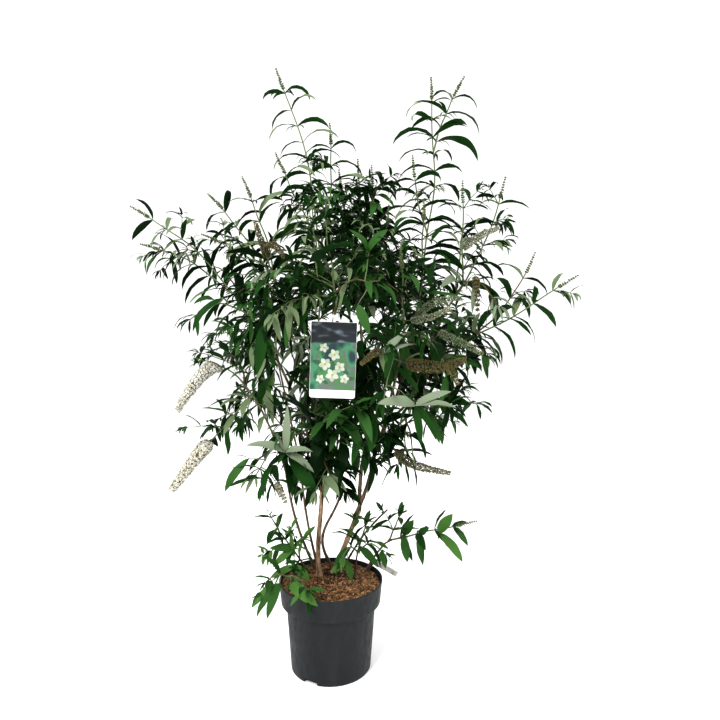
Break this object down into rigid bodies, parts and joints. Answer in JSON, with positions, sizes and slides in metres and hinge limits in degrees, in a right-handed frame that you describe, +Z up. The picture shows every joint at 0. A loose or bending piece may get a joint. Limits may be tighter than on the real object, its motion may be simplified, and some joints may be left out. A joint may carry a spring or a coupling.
{
  "type": "potted butterfly bush",
  "caption": "Multi-stemmed butterfly bush in a round nursery pot, with arching leafy shoots, pale drooping flower spikes and a plain hang tag.",
  "frame": {"origin": "centre of the pot's flat underside", "axes": "+Z up along the plant's height, -Y towards the side with the hang tag, +X to the right seen from that side"},
  "size_m": [1.3466, 1.0182, 1.8044],
  "materials": {
    "pot_plastic": "dark grey moulded nursery pot, matte with faint scuffs",
    "mulch": "reddish brown bark chips and fibre over dark potting soil",
    "bark": "tan to reddish brown bark with fine lengthways cracks",
    "foliage": "dark green leaves with pale felted undersides, thin green twigs and flower spikes",
    "tag_card": "satin printed plastic card with a plain soft green picture and a white strip",
    "slip_card": "off-white blank plastic strip"
  },
  "bodies": {
    "root": {"pot": "pot_plastic", "soil": "mulch", "stem_left": "bark", "stem_right": "bark", "stem_outer": "bark", "stem_inner": "bark", "stem_bent": "bark", "stem_low_right": "bark", "stem_low_left": "bark", "stem_low_middle": "bark", "stem_low_front": "bark", "cut_stem": "bark", "cut_stub": "bark", "fork_left": "bark", "fork_right": "bark", "bough_spire_left": "bark", "bough_far_left": "bark", "bough_upper_left": "bark", "bough_low_left": "bark", "bough_back_left": "bark", "bough_top": "bark", "bough_back_top": "bark", "bough_back_right": "bark", "bough_spire_right": "bark", "bough_right": "bark", "bough_upper_right": "bark", "bough_low_right": "bark", "bough_front_right": "bark", "bough_front": "bark", "bough_front_low": "bark", "bough_back_low": "bark", "foliage_spire_left": "foliage", "foliage_upper_left": "foliage", "foliage_far_left": "foliage", "foliage_low_left": "foliage", "foliage_top": "foliage", "foliage_spire_right": "foliage", "foliage_upper_right": "foliage", "foliage_right": "foliage", "foliage_low_right": "foliage", "foliage_front_right": "foliage", "foliage_front": "foliage", "foliage_front_low": "foliage", "foliage_back_left": "foliage", "foliage_back_top": "foliage", "foliage_back_right": "foliage", "foliage_back_low": "foliage", "leaves_low_right": "foliage", "leaves_low_middle": "foliage", "leaves_low_left": "foliage", "leaves_low_front": "foliage", "tag": "tag_card", "slip": "slip_card"}
  },
  "joints": []
}
